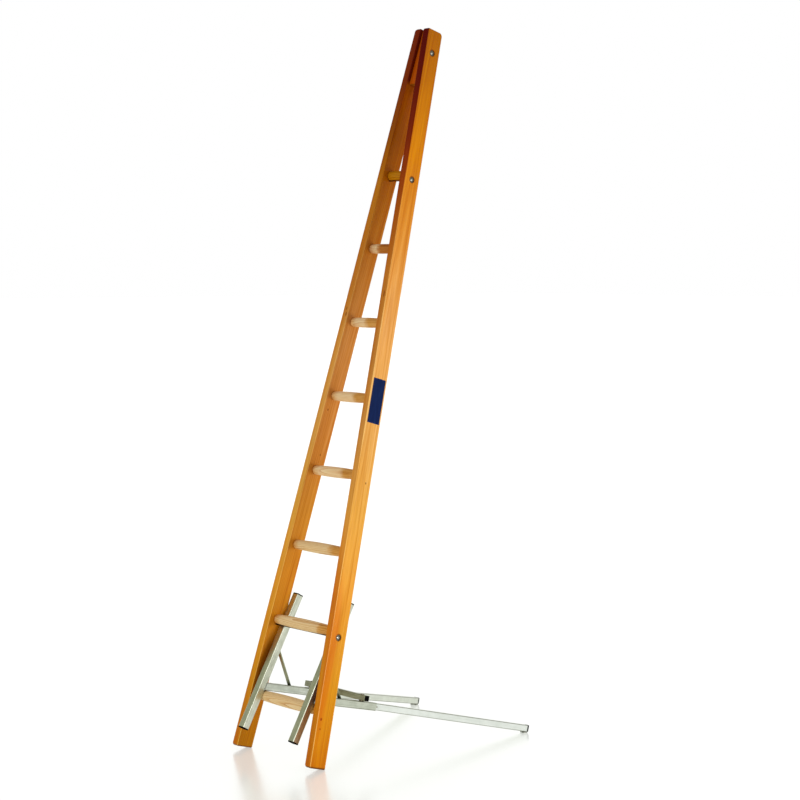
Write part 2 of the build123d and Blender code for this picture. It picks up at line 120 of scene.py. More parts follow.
def varnished_fir(name, turn, foot, pith, edge_shade_tones, inner=0, marks=()):
    """Fir under amber varnish: early and late wood in turn, honey streaks, and a redder head that is partly
    painted shade.

    turn and foot are the rail's slant and its foot, pith is how far off the middle of the log lies,
    edge_shade_tones are the painted shade along the narrow edges by height, and inner is the side that
    faces the other rail. marks are knots and spots of painted shade, each its place (across, back, up)
    from the rail's foot, its radius, length, depth and colour."""
    ring_spacing = 0.0034
    ring_wander = 2.2
    streak_width = 0.013
    fibre_width = 0.0011
    fleck_spacing = 0.026
    fleck_squeeze = 0.22
    grain_stretch = 50
    grain_slope = (0.011, 0.007, 0)
    grain_depth = 0.0003
    inner_skin = 0.0006
    inner_fade = 0.0022
    shade_below = 0.006
    shade_above = 0.012
    soil_and_shade_full = 0.0015
    soil_and_shade_height = 0.0065
    material = new_material(name)
    coords = node(material, "ShaderNodeTexCoord")
    rail_turn = (ladder_lean, turn, 0)
    rail = node(material, "ShaderNodeMapping", {
        "Vector": coords.outputs["Object"],
        "Rotation": rail_turn,
        "Location": -(Euler(rail_turn).to_matrix() @ foot)}).outputs["Vector"]
    drawn = node(material, "ShaderNodeMapping", {
        "Vector": rail, "Scale": (1, 1, 1 / grain_stretch)}).outputs["Vector"]

    # Year rings, cut along the log a little out of line with its pith
    wander = node(material, "ShaderNodeTexNoise", {
        "Vector": drawn, "Scale": 0.4 / streak_width, "Detail": 2}).outputs["Fac"]
    log = node(material, "ShaderNodeMapping", {
        "Vector": rail, "Rotation": grain_slope, "Location": pith}).outputs["Vector"]
    slice_of_log = node(material, "ShaderNodeVectorMath", {
        0: log, 1: (1 / ring_spacing, 1 / ring_spacing, 0)}, operation="MULTIPLY").outputs["Vector"]
    from_pith = node(material, "ShaderNodeVectorMath", {
        0: slice_of_log}, operation="LENGTH").outputs["Value"]
    phase = node(material, "ShaderNodeMath", {
        0: wander, 1: ring_wander, 2: from_pith}, operation="MULTIPLY_ADD").outputs[0]
    ring = node(material, "ShaderNodeMath", {0: phase}, operation="FRACT").outputs[0]
    rings = node(material, "ShaderNodeValToRGB", {"Fac": ring}, stops=[
        (0.0, "f1b966"), (0.5, "ebac54"), (0.84, "d18830"), (1.0, "edb25d")]).outputs["Color"]

    # Broad honey streaks, where the grain runs in and out of the face
    streak = node(material, "ShaderNodeTexNoise", {
        "Vector": drawn, "Scale": 1 / streak_width, "Detail": 3, "Roughness": 0.6}).outputs["Fac"]
    streaks = node(material, "ShaderNodeValToRGB", {"Fac": streak}, stops=[
        (0.30, "d18830"), (0.48, "e7a754"), (0.70, "f7c47e")]).outputs["Color"]
    wood = node(material, "ShaderNodeMixRGB", {
        "Fac": 0.55, "Color1": rings, "Color2": streaks}).outputs["Color"]

    # Fibres, drawn far coarser than real ones, which are too fine to show
    fibre = node(material, "ShaderNodeTexNoise", {
        "Vector": drawn, "Scale": 1 / fibre_width, "Detail": 2}).outputs["Fac"]
    fibres = node(material, "ShaderNodeValToRGB", {"Fac": fibre}, stops=[
        (0.25, "dcd2c8"), (0.6, "ffffff")]).outputs["Color"]
    wood = node(material, "ShaderNodeMixRGB", {
        "Fac": 0.6, "Color1": wood, "Color2": fibres}, blend_type="MULTIPLY").outputs["Color"]

    # The tone along the rail, pale in the middle and deeper amber towards both ends: partly the varnish's own
    # colour and partly painted light and shade along the height
    height = node(material, "ShaderNodeSeparateXYZ", {"Vector": rail}).outputs["Z"]
    share = node(material, "ShaderNodeMath", {
        0: height, 1: 1 / stile_length}, operation="MULTIPLY").outputs[0]
    tone = node(material, "ShaderNodeValToRGB", {"Fac": share}, stops=[
        (0.0, "e0b110"), (0.10, "ebd552"), (0.23, "fdeaa3"), (0.33, "fdfcd7"), (0.43, "fcfcfd"),
        (0.58, "fff8ff"), (0.70, "f4d79e"), (0.82, "f1c824"), (0.93, "d8ad06"), (1.0, "cca202"),
    ]).outputs["Color"]
    wood = node(material, "ShaderNodeMixRGB", {
        "Fac": 1.0, "Color1": wood, "Color2": tone}, blend_type="MULTIPLY").outputs["Color"]

    # Painted shade on the narrow edges, which face the front and back: a tone by height, slight low down and deep
    # red towards the head, over a band that widens there
    turned_front = node(material, "ShaderNodeVectorMath", {
        0: coords.outputs["Normal"], 1: ladder_front}, operation="DOT_PRODUCT").outputs["Value"]
    on_edge = node(material, "ShaderNodeMath", {0: turned_front}, operation="ABSOLUTE").outputs[0]
    edge_start = node(material, "ShaderNodeMapRange", {
        "Value": share, "From Min": 0.60, "From Max": 0.85,
        "To Min": 0.55, "To Max": 0.20}).outputs["Result"]
    edge_full = node(material, "ShaderNodeMath", {0: edge_start, 1: 0.4}, operation="ADD").outputs[0]
    edge = node(material, "ShaderNodeMapRange", {
        "Value": on_edge, "From Min": edge_start, "From Max": edge_full}).outputs["Result"]
    edge_shade = node(material, "ShaderNodeValToRGB", {"Fac": share}, stops=edge_shade_tones).outputs["Color"]
    wood = node(material, "ShaderNodeMixRGB", {
        "Fac": edge, "Color1": wood, "Color2": edge_shade}, blend_type="MULTIPLY").outputs["Color"]

    # Painted highlight: the crests of the rounded arrises are painted paler, fading out towards the head and
    # broken along the streaks
    crest = node(material, "ShaderNodeMapRange", {
        "Value": on_edge, "From Min": 0.28, "From Max": 0.44}).outputs["Result"]
    past = node(material, "ShaderNodeMapRange", {
        "Value": on_edge, "From Min": 0.66, "From Max": 0.84,
        "To Min": 1.0, "To Max": 0.0}).outputs["Result"]
    ridge = node(material, "ShaderNodeMath", {0: crest, 1: past}, operation="MULTIPLY").outputs[0]
    highlight_fade = node(material, "ShaderNodeMapRange", {
        "Value": share, "From Min": 0.5, "From Max": 0.82,
        "To Min": 0.9, "To Max": 0.0}).outputs["Result"]
    broken = node(material, "ShaderNodeMapRange", {
        "Value": streak, "From Min": 0.40, "From Max": 0.62,
        "To Min": 0.35, "To Max": 1.0}).outputs["Result"]
    wear_and_highlight = node(material, "ShaderNodeMath", {0: highlight_fade, 1: broken}, operation="MULTIPLY").outputs[0]
    rub_and_highlight = node(material, "ShaderNodeMath", {0: ridge, 1: wear_and_highlight}, operation="MULTIPLY").outputs[0]
    wood = node(material, "ShaderNodeMixRGB", {
        "Fac": rub_and_highlight, "Color1": wood, "Color2": linear("ffce74")}).outputs["Color"]

    # Painted shade on the inner faces: a deeper orange that changes with height, and beside the head block a
    # painted dark red shadow in the recess
    if inner:
        across = node(material, "ShaderNodeSeparateXYZ", {"Vector": rail}).outputs["X"]
        inward = node(material, "ShaderNodeMath", {0: across, 1: inner}, operation="MULTIPLY").outputs[0]
        deep = node(material, "ShaderNodeMapRange", {
            "Value": inward, "From Min": half_thickness - inner_fade,
            "From Max": half_thickness - inner_skin}).outputs["Result"]
        inner_shade = node(material, "ShaderNodeValToRGB", {"Fac": share}, stops=[
            (0.0, "dcec90"), (0.08, "f0d890"), (0.2, "f0e2a8"), (0.33, "e4cea0"), (0.43, "e6caa8"),
            (0.54, "e3d2c0"), (0.74, "d4c898"), (0.85, "ccb874"), (0.9, "f0d884")]).outputs["Color"]
        wood = node(material, "ShaderNodeMixRGB", {
            "Fac": deep, "Color1": wood, "Color2": inner_shade}, blend_type="MULTIPLY").outputs["Color"]
        beside = node(material, "ShaderNodeMapRange", {
            "Value": height, "From Min": block_foot - shade_below,
            "From Max": block_foot + shade_above}).outputs["Result"]
        recess_share = node(material, "ShaderNodeMath", {0: deep, 1: beside}, operation="MULTIPLY").outputs[0]
        recess_shade = node(material, "ShaderNodeMath", {0: recess_share, 1: 0.9}, operation="MULTIPLY").outputs[0]
        wood = node(material, "ShaderNodeMixRGB", {
            "Fac": recess_shade, "Color1": wood, "Color2": linear("600400")}).outputs["Color"]

    # Dark resin flecks, a few to a hand's breadth, drawn out along the grain
    specks = node(material, "ShaderNodeMapping", {
        "Vector": rail,
        "Scale": Vector((1, 1, fleck_squeeze)) / fleck_spacing}).outputs["Vector"]
    cells = node(material, "ShaderNodeTexVoronoi", {"Vector": specks, "Scale": 1})
    chosen = node(material, "ShaderNodeSeparateColor", {"Color": cells.outputs["Color"]}).outputs["Red"]
    fleck_size = node(material, "ShaderNodeMapRange", {
        "Value": chosen, "From Min": 0.72, "From Max": 1.0, "To Max": 0.13}).outputs["Result"]
    inside = node(material, "ShaderNodeMath", {
        0: cells.outputs["Distance"], 1: fleck_size}, operation="LESS_THAN").outputs[0]
    fleck = node(material, "ShaderNodeMath", {0: inside, 1: 0.6}, operation="MULTIPLY").outputs[0]
    wood = node(material, "ShaderNodeMixRGB", {
        "Fac": fleck, "Color1": wood, "Color2": linear("7a3a0c")}).outputs["Color"]

    # Pin knots, and painted shadows and shade, each at its own place
    for place, radius, length, depth, colour in marks:
        off = node(material, "ShaderNodeVectorMath", {
            0: rail, 1: place}, operation="SUBTRACT").outputs["Vector"]
        shares = node(material, "ShaderNodeVectorMath", {
            0: off, 1: (1 / radius, 1 / radius, 2 / length)}, operation="MULTIPLY").outputs["Vector"]
        far = node(material, "ShaderNodeVectorMath", {0: shares}, operation="LENGTH").outputs["Value"]
        mark = node(material, "ShaderNodeMapRange", {
            "Value": far, "From Min": 0.7, "From Max": 1.2,
            "To Min": depth, "To Max": 0.0}).outputs["Result"]
        wood = node(material, "ShaderNodeMixRGB", {
            "Fac": mark, "Color1": wood, "Color2": linear(colour)}).outputs["Color"]

    # The foot is darker along its lower edge: soil, and painted contact shade where it meets the floor
    soil_and_shade = node(material, "ShaderNodeMapRange", {
        "Value": height, "From Min": soil_and_shade_full, "From Max": soil_and_shade_height,
        "To Min": 0.85, "To Max": 0.0}).outputs["Result"]
    wood = node(material, "ShaderNodeMixRGB", {
        "Fac": soil_and_shade, "Color1": wood, "Color2": linear("3a1c08")}).outputs["Color"]

    # End grain drinks the varnish and turns brown
    rise = node(material, "ShaderNodeVectorMath", {
        0: coords.outputs["Normal"], 1: ladder_up}, operation="DOT_PRODUCT").outputs["Value"]
    slope = node(material, "ShaderNodeMath", {0: rise}, operation="ABSOLUTE").outputs[0]
    end_grain = node(material, "ShaderNodeMapRange", {
        "Value": slope, "From Min": 0.6, "From Max": 0.95, "To Max": 0.65}).outputs["Result"]
    wood = node(material, "ShaderNodeMixRGB", {
        "Fac": end_grain, "Color1": wood, "Color2": linear("8e4c14")}).outputs["Color"]

    # The rings and fibres stand up a little under the varnish, whose gloss changes with the streaks
    relief = node(material, "ShaderNodeMath", {0: ring, 1: fibre}, operation="ADD").outputs[0]
    bump = node(material, "ShaderNodeBump", {
        "Height": relief, "Strength": 0.22, "Distance": grain_depth}).outputs["Normal"]
    rough = node(material, "ShaderNodeMapRange", {
        "Value": streak, "To Min": 0.34, "To Max": 0.52}).outputs["Result"]
    node(material, "Principled BSDF", {
        "Base Color": wood, "Roughness": rough, "Normal": bump,
        "Specular IOR Level": 0.03, "Coat Weight": 0.08, "Coat Roughness": 0.12})
    return material


right_pith = (0.046, 0.018, 0)
left_pith = (0.058, -0.024, 0)
# Painted shade along each rail's narrow edges, by height
right_tones = [
    (0.0, "fff4a8"), (0.12, "fff2a8"), (0.22, "ecc070"), (0.33, "fff0d8"), (0.54, "e4cc9c"),
    (0.65, "ecd8a4"), (0.78, "c08436"), (0.85, "a45806"), (0.93, "8c2800"), (1.0, "840a00")]
left_tones = [
    (0.0, "fffcb0"), (0.3, "fffad8"), (0.54, "faf0c4"), (0.65, "e8d6a4"),
    (0.78, "e4e0b4"), (0.85, "c0ac50"), (0.93, "b07420"), (1.0, "ac6014")]
knot_and_shadow_red = "5a0e00"
shade_orange = "c84a00"
washer_shade_radius = 0.0116
right_marks = [
    ((half_thickness, -0.018, 0.152), 0.0036, 0.010, 0.95, knot_and_shadow_red),
    ((half_thickness, -0.016, 0.122), 0.0024, 0.006, 0.8, knot_and_shadow_red),
    ((half_thickness, 0.010, 0.905), 0.0022, 0.008, 0.8, knot_and_shadow_red),
    ((0.004, front_edge, 1.520), 0.003, 0.024, 0.6, knot_and_shadow_red),
    # Painted shadow on the inner face, between the right upright and the stile
    ((-half_thickness - 0.018, 0.004, 0.23), 0.034, 0.18, 0.9, knot_and_shadow_red),
    # Painted shade: a deeper orange over the front of the outer face, low down
    ((half_thickness + 0.006, -0.022, 0.33), 0.020, 0.50, 0.45, shade_orange)]

# Painted shade in a ring around each tie rod's washer, where its recess is in shadow
for rod in ("lower", "upper", "head"):
    rod_low, rod_high = extent(f"tie_rod_{rod}", ladder_up)
    rod_height = ((rod_low + rod_high) / 2 - stile_low) / cos(stile_turn)
    right_marks.append(((half_thickness, 0, rod_height), washer_shade_radius, 2 * washer_shade_radius, 0.95, knot_and_shadow_red))

left_marks = [
    ((0.006, front_edge, 1.450), 0.0036, 0.016, 0.55, knot_and_shadow_red),
    ((0.002, front_edge, 1.468), 0.0026, 0.012, 0.5, knot_and_shadow_red),
    ((half_thickness, 0.004, 0.980), 0.0022, 0.007, 0.7, knot_and_shadow_red),
    ((half_thickness, -0.012, 1.130), 0.0022, 0.008, 0.7, knot_and_shadow_red),
    # Painted shadow of the left upright on the stile's inner face
    ((half_thickness + 0.012, -0.006, 0.27), 0.025, 0.24, 0.6, knot_and_shadow_red)]
dress(varnished_fir("varnished_fir_right", stile_turn, stile_feet["right"], right_pith, right_tones,
                    inner=-1, marks=right_marks), "right_stile")
dress(varnished_fir("varnished_fir_left", -stile_turn, stile_feet["left"], left_pith, left_tones,
                    inner=1, marks=left_marks), "left_stile")


# Rungs: turned from ash, swelling to the middle, their tenons glued into stopped holes in the stiles.
# Boots have worn the varnish off all but their ends, down to pale bare wood with reddish year lines.
# The highest, which nobody treads on, is still golden all over.
rung_count = 8
trodden_rungs = 3
tone_steps = (0.15, 0.45, 0.7, 0.85)
trodden_tones = ("f2d6a4", "eaca94", "e0b87e", "be8652")
bare_tones = ("f9dcad", "f2d29e", "e9be8a", "cd9868")
varnish_tones = ("e0aa58", "d69844", "c68430", "a2601c")
upper_varnish_tones = {
    rung_count - 1: ("c87c20", "ba6a12", "a65a0a", "844204"),
    rung_count: ("d28d16", "c6800a", "b36f05", "945402")}


def turned_ash(number):
    """Ash with its grain along the rung, bare where it is trodden and golden with varnish at the ends."""
    year_spacing = 0.0042
    year_wander = 2.5
    wander_size = 0.03
    fibre_width = 0.0016
    grain_stretch = 18
    grain_depth = 0.0003
    grain_slope = 0.03
    grain_turn = 1.9 * number
    grain_shift = Vector((0.37, 0.05, 0)) * number
    tenon = 0.018
    left_varnish = 0.022
    left_fade = 0.03
    right_varnish = 0.058 + 0.002 * number
    right_fade = 0.034
    patch_size = 0.02
    ragged_reach = 0.036
    low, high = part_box(f"rung_{number}")
    middle = (low + high) / 2
    material = new_material(f"turned_ash_{number}")
    coords = node(material, "ShaderNodeTexCoord")
    rung = node(material, "ShaderNodeMapping", {
        "Vector": coords.outputs["Object"], "Location": -middle}).outputs["Vector"]
    drawn = node(material, "ShaderNodeMapping", {
        "Vector": rung, "Location": grain_shift, "Scale": (1 / grain_stretch, 1, 1)}).outputs["Vector"]

    # Year lines along the rung, which the swelling cuts into long pointed loops
    wander = node(material, "ShaderNodeTexNoise", {
        "Vector": drawn, "Scale": 1 / wander_size, "Detail": 2}).outputs["Fac"]
    across_years = Euler((grain_turn, 0, grain_slope)).to_matrix() @ Vector((0, 0, 1 / year_spacing))
    layer = node(material, "ShaderNodeVectorMath", {
        0: rung, 1: across_years}, operation="DOT_PRODUCT").outputs["Value"]
    phase = node(material, "ShaderNodeMath", {
        0: wander, 1: year_wander, 2: layer}, operation="MULTIPLY_ADD").outputs[0]
    year = node(material, "ShaderNodeMath", {0: phase}, operation="FRACT").outputs[0]

    # Fibres, drawn coarser than real ones, which are too fine to show
    fibre = node(material, "ShaderNodeTexNoise", {
        "Vector": drawn, "Scale": 1 / fibre_width, "Detail": 3, "Roughness": 0.6}).outputs["Fac"]
    mixed = node(material, "ShaderNodeMath", {
        0: fibre, 1: 0.9, 2: year}, operation="MULTIPLY_ADD").outputs[0]
    shade = node(material, "ShaderNodeMath", {0: mixed, 1: 0.55}, operation="MULTIPLY").outputs[0]
    worn_tones = trodden_tones if number <= trodden_rungs else bare_tones
    bare = node(material, "ShaderNodeValToRGB", {
        "Fac": shade}, stops=list(zip(tone_steps, worn_tones))).outputs["Color"]
    kept_tones = upper_varnish_tones.get(number, varnish_tones)
    golden = node(material, "ShaderNodeValToRGB", {
        "Fac": shade}, stops=list(zip(tone_steps, kept_tones))).outputs["Color"]

    # The varnish ends in a ragged line, a hand's breadth short of the right stile on the trodden rungs
    across = node(material, "ShaderNodeSeparateXYZ", {"Vector": rung}).outputs["X"]
    patch = node(material, "ShaderNodeTexNoise", {
        "Vector": rung, "Scale": 1 / patch_size, "Detail": 3}).outputs["Fac"]
    ragged = node(material, "ShaderNodeMath", {
        0: patch, 1: ragged_reach, 2: across}, operation="MULTIPLY_ADD").outputs[0]
    shoulder = high.x - tenon
    right_start = shoulder - right_varnish
    right_end = node(material, "ShaderNodeMapRange", {
        "Value": ragged, "From Min": right_start, "From Max": right_start + right_fade,
        "To Max": 0.95}, interpolation_type="SMOOTHSTEP").outputs["Result"]
    left_start = -shoulder + left_varnish
    left_end = node(material, "ShaderNodeMapRange", {
        "Value": ragged, "From Min": left_start, "From Max": left_start + left_fade,
        "To Min": 0.8, "To Max": 0.0}).outputs["Result"]
    at_ends = node(material, "ShaderNodeMath", {0: right_end, 1: left_end}, operation="MAXIMUM").outputs[0]
    kept = 1.0 if number == rung_count else 0.03
    varnish = node(material, "ShaderNodeMath", {0: at_ends, 1: kept}, operation="MAXIMUM").outputs[0]
    wood = node(material, "ShaderNodeMixRGB", {
        "Fac": varnish, "Color1": bare, "Color2": golden}).outputs["Color"]
    bump = node(material, "ShaderNodeBump", {
        "Height": shade, "Strength": 0.25, "Distance": grain_depth}).outputs["Normal"]
    rough = node(material, "ShaderNodeMapRange", {
        "Value": varnish, "To Min": 0.62, "To Max": 0.36}).outputs["Result"]
    node(material, "Principled BSDF", {
        "Base Color": wood, "Roughness": rough, "Normal": bump, "Specular IOR Level": 0.06})
    return material


for number in range(1, rung_count + 1):
    dress(turned_ash(number), f"rung_{number}")


# Head block: a wedge of the same fir, glued between the tops of the stiles and set back from their edges.
# It is varnished with them; its face is painted paler than their edges, as light falling on it, and its end grain
# shows at the top.
block_pith = (0.012, 0.030, 0)
# Painted light: the block's face takes a light, even tone in place of the stiles' edge shade
block_tones = [(0.0, "ffc890"), (1.0, "ffc890")]
dress(varnished_fir("varnished_fir_block", 0, ladder_foot, block_pith, block_tones), "head_block")


# Tie rods: zinc-plated steel rod, its ends riveted over washers that are let into the stiles.
# The rivets are bare grey metal. The washers are painted dark, as shade in their recesses, and between the stiles
# the rods are painted dark, as shade.
def plated_steel(name, bright, dull, unshaded_from=0, between=None):
    """Zinc-plated steel: soft grey sheen, clouded where the plating has dulled.

    unshaded_from is how far out from the ladder's middle the metal keeps its own colour, and between is
    the painted shade's colour on the rod between the stiles."""
    cloud_size = 0.004
    cloud_depth = 0.0002
    shade_fade = 0.0005
    material = new_material(name)
    coords = node(material, "ShaderNodeTexCoord").outputs["Object"]
    cloud = node(material, "ShaderNodeTexNoise", {
        "Vector": coords, "Scale": 1 / cloud_size, "Detail": 4, "Roughness": 0.65}).outputs["Fac"]
    tone = node(material, "ShaderNodeValToRGB", {"Fac": cloud}, stops=[
        (0.35, dull), (0.65, bright)]).outputs["Color"]
    if unshaded_from:
        across = node(material, "ShaderNodeSeparateXYZ", {"Vector": coords}).outputs["X"]
        outward = node(material, "ShaderNodeMath", {0: across}, operation="ABSOLUTE").outputs[0]
        shaded_middle = node(material, "ShaderNodeMapRange", {
            "Value": outward, "From Min": unshaded_from - shade_fade, "From Max": unshaded_from,
            "To Min": 1.0, "To Max": 0.0}).outputs["Result"]
        tone = node(material, "ShaderNodeMixRGB", {
            "Fac": shaded_middle, "Color1": tone, "Color2": linear(between)}).outputs["Color"]
    rough = node(material, "ShaderNodeMapRange", {
        "Value": cloud, "From Min": 0.3, "From Max": 0.7, "To Min": 0.5, "To Max": 0.28}).outputs["Result"]
    bump = node(material, "ShaderNodeBump", {
        "Height": cloud, "Strength": 0.15, "Distance": cloud_depth}).outputs["Normal"]
    node(material, "Principled BSDF", {
        "Base Color": tone, "Metallic": 1.0, "Roughness": rough, "Normal": bump})
    return material


rivet_height = 0.002
rod_shade = {"lower": "2c1408", "upper": "8a5a20", "head": "2c1408"}
# Painted shade: the washers are darker than the rivets, as their recesses are in shadow
washer_zinc_shaded = plated_steel("washer_zinc_shaded", "76705f", "4a4234")
# Each rod's colour between the stiles is painted shade, as the rods lie in shadow
for rod, varnish in rod_shade.items():
    rod_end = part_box(f"tie_rod_{rod}")[1].x
    dress(plated_steel(f"tie_rod_zinc_{rod}", "d8d6cc", "98948a", rod_end - rivet_height, varnish),
          f"tie_rod_{rod}")
    dress(washer_zinc_shaded, f"tie_rod_{rod}_washers")


# Label: a plain navy vinyl sticker, stuck on the right stile at hand height.
# Its corners are rounded, and its face is a little scuffed and faded along the edges.
label_length = 0.146
label_width = 0.0515
label_height = 1.171
label_thickness = 0.0003
label_corner = 0.0015
face_offset = outer_face.center.dot(stile_out)
stile_along = ladder_front.cross(stile_out)
on_face = stile_feet["right"] + stile_along * label_height
on_face += stile_out * (face_offset - on_face.dot(stile_out))
label_turn = Matrix((stile_along, ladder_front, stile_out)).transposed()
bpy.ops.object.select_all(action="DESELECT")
bpy.ops.mesh.primitive_plane_add(size=1, location=on_face, rotation=label_turn.to_euler())
label = bpy.context.object
label.name = "label"
label.scale = (label_length, label_width, 1)
bpy.ops.object.transform_apply(location=False, rotation=False, scale=True)
bpy.ops.object.mode_set(mode="EDIT")
bpy.ops.mesh.bevel(offset=label_corner, segments=4, affect="VERTICES")
bpy.ops.mesh.select_all(action="SELECT")
bpy.ops.mesh.extrude_region_move(TRANSFORM_OT_translate={"value": stile_out * label_thickness})
bpy.ops.mesh.bevel(offset=label_thickness / 3, segments=2, affect="EDGES")
bpy.ops.mesh.select_all(action="SELECT")
bpy.ops.mesh.normals_make_consistent(inside=False)
bpy.ops.object.mode_set(mode="OBJECT")
bpy.ops.object.transform_apply(location=True, rotation=True, scale=True)
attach(label, "ladder")


def navy_vinyl():
    """Sticker vinyl: even navy with a satin laminate, scuffed paler in patches and along its edges."""
    rub_size = 0.009
    rub_stretch = 6
    material = new_material("navy_vinyl")
    coords = node(material, "ShaderNodeTexCoord").outputs["Object"]
    sticker_turn = (ladder_lean, stile_turn, 0)
    sticker = node(material, "ShaderNodeMapping", {
        "Vector": coords, "Rotation": sticker_turn,
        "Location": -(Euler(sticker_turn).to_matrix() @ on_face)}).outputs["Vector"]
    drawn = node(material, "ShaderNodeMapping", {
        "Vector": sticker, "Scale": (1, 1, 1 / rub_stretch)}).outputs["Vector"]
    rub_and_highlight = node(material, "ShaderNodeTexNoise", {
        "Vector": drawn, "Scale": 1 / rub_size, "Detail": 5, "Roughness": 0.7}).outputs["Fac"]
    shares = node(material, "ShaderNodeVectorMath", {
        0: sticker, 1: (1, 2 / label_width, 2 / label_length)}, operation="MULTIPLY").outputs["Vector"]
    span = node(material, "ShaderNodeVectorMath", {0: shares}, operation="ABSOLUTE").outputs["Vector"]
    from_middle = node(material, "ShaderNodeSeparateXYZ", {"Vector": span}).outputs
    rim = node(material, "ShaderNodeMath", {
        0: from_middle["Y"], 1: from_middle["Z"]}, operation="MAXIMUM").outputs[0]
    edge = node(material, "ShaderNodeMapRange", {
        "Value": rim, "From Min": 0.93, "From Max": 1.0, "To Max": 0.22}).outputs["Result"]
    wear_and_highlight = node(material, "ShaderNodeMath", {0: rub_and_highlight, 1: edge}, operation="ADD").outputs[0]
    ink = node(material, "ShaderNodeValToRGB", {"Fac": wear_and_highlight}, stops=[
        (0.35, "0c1b44"), (0.62, "10224e"), (0.80, "24365f"), (0.95, "6c7894")]).outputs["Color"]
    rough = node(material, "ShaderNodeMapRange", {
        "Value": wear_and_highlight, "From Min": 0.3, "From Max": 0.9, "To Min": 0.3, "To Max": 0.55}).outputs["Result"]
    node(material, "Principled BSDF", {"Base Color": ink, "Roughness": rough, "Specular IOR Level": 0.05})
    return material


label.data.materials.append(navy_vinyl())


# Prop: square aluminium tube as it comes from the mill. The two uprights pass in front of rung 1 and behind
# rung 2, the leg sleeves are welded to their backs and braced with flat bar, and the cross bar is bolted
# over the sleeves.
def mill_aluminium(name, turn, shades, black_end_place=None, top_normal=None):
    """Extruded aluminium: grey with a greenish cast, faint die lines along the tube, a few scratches.

    turn lays the pattern along the tube. black_end_place is the height of a welded end that is drawn black,
    and top_normal points out of the top of a tube whose arrises carry painted dark reflections as thin
    lines. Real die lines are too fine to show, so they are drawn coarser."""
    line_width = 0.0021
    line_stretch = 70
    line_depth = 0.0002
    cloud_size = 0.03
    shade_steps = (0.5, 0.85, 1.0)
    scratch_spacing = 0.012
    black_end_reach = 0.028
    material = new_material(f"mill_aluminium_{name}")
    coords = node(material, "ShaderNodeTexCoord").outputs
    tube = node(material, "ShaderNodeMapping", {
        "Vector": coords["Object"], "Rotation": turn}).outputs["Vector"]
    drawn = node(material, "ShaderNodeMapping", {
        "Vector": tube, "Scale": (1, 1, 1 / line_stretch)}).outputs["Vector"]
    lines = node(material, "ShaderNodeTexNoise", {
        "Vector": drawn, "Scale": 1 / line_width, "Detail": 3, "Roughness": 0.6}).outputs["Fac"]
    cloud = node(material, "ShaderNodeTexNoise", {
        "Vector": tube, "Scale": 1 / cloud_size, "Detail": 4, "Roughness": 0.6}).outputs["Fac"]
    mixed = node(material, "ShaderNodeMath", {
        0: cloud, 1: 0.8, 2: lines}, operation="MULTIPLY_ADD").outputs[0]
    tone = node(material, "ShaderNodeValToRGB", {
        "Fac": mixed}, stops=list(zip(shade_steps, shades))).outputs["Color"]
    # The brace's welded lower end is drawn black, fading out up the brace
    if black_end_place:
        level = node(material, "ShaderNodeSeparateXYZ", {"Vector": coords["Object"]}).outputs["Z"]
        black_end = node(material, "ShaderNodeMapRange", {
            "Value": level, "From Min": black_end_place, "From Max": black_end_place + black_end_reach,
            "To Min": 0.95, "To Max": 0.0}, interpolation_type="SMOOTHSTEP").outputs["Result"]
        tone = node(material, "ShaderNodeMixRGB", {
            "Fac": black_end, "Color1": tone, "Color2": linear("1b1c18")}).outputs["Color"]
    # Painted reflection: dark lines along the arrises between the top and the sides
    if top_normal:
        upward = node(material, "ShaderNodeVectorMath", {
            0: coords["Normal"], 1: top_normal}, operation="DOT_PRODUCT").outputs["Value"]
        flatness = node(material, "ShaderNodeMath", {0: upward}, operation="ABSOLUTE").outputs[0]
        off_side = node(material, "ShaderNodeMapRange", {
            "Value": flatness, "From Min": 0.1, "From Max": 0.3}).outputs["Result"]
        off_top = node(material, "ShaderNodeMapRange", {
            "Value": flatness, "From Min": 0.9, "From Max": 0.98,
            "To Min": 0.75, "To Max": 0.0}).outputs["Result"]
        arris_shade = node(material, "ShaderNodeMath", {0: off_side, 1: off_top}, operation="MULTIPLY").outputs[0]
        tone = node(material, "ShaderNodeMixRGB", {
            "Fac": arris_shade, "Color1": tone, "Color2": linear("7c7c6a")}).outputs["Color"]
    scratch = node(material, "ShaderNodeTexVoronoi", {
        "Vector": drawn, "Scale": 1 / scratch_spacing}, feature="DISTANCE_TO_EDGE").outputs["Distance"]
    score = node(material, "ShaderNodeMapRange", {
        "Value": scratch, "From Max": 0.03}).outputs["Result"]
    rough = node(material, "ShaderNodeMapRange", {
        "Value": mixed, "From Min": 0.5, "From Max": 1.2, "To Min": 0.44, "To Max": 0.3}).outputs["Result"]
    relief = node(material, "ShaderNodeMath", {
        0: score, 1: 0.6, 2: lines}, operation="MULTIPLY_ADD").outputs[0]
    bump = node(material, "ShaderNodeBump", {
        "Height": relief, "Strength": 0.12, "Distance": line_depth}).outputs["Normal"]
    node(material, "Principled BSDF", {
        "Base Color": tone, "Metallic": 1.0, "Roughness": rough, "Normal": bump})
    return material


leg_direction = Vector(joints["right_leg_pull"]["axis"])
leg_turn = atan2(leg_direction.y, leg_direction.z)
leg_normal = Vector((0, -leg_direction.z, leg_direction.y))
upright_low, upright_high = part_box("right_upright")
upright_lean = atan2(upright_high.y - upright_low.y, upright_high.z - upright_low.z)
brace_low, brace_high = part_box("right_brace")
brace_turn = atan2(brace_high.y - brace_low.y, brace_low.z - brace_high.z)
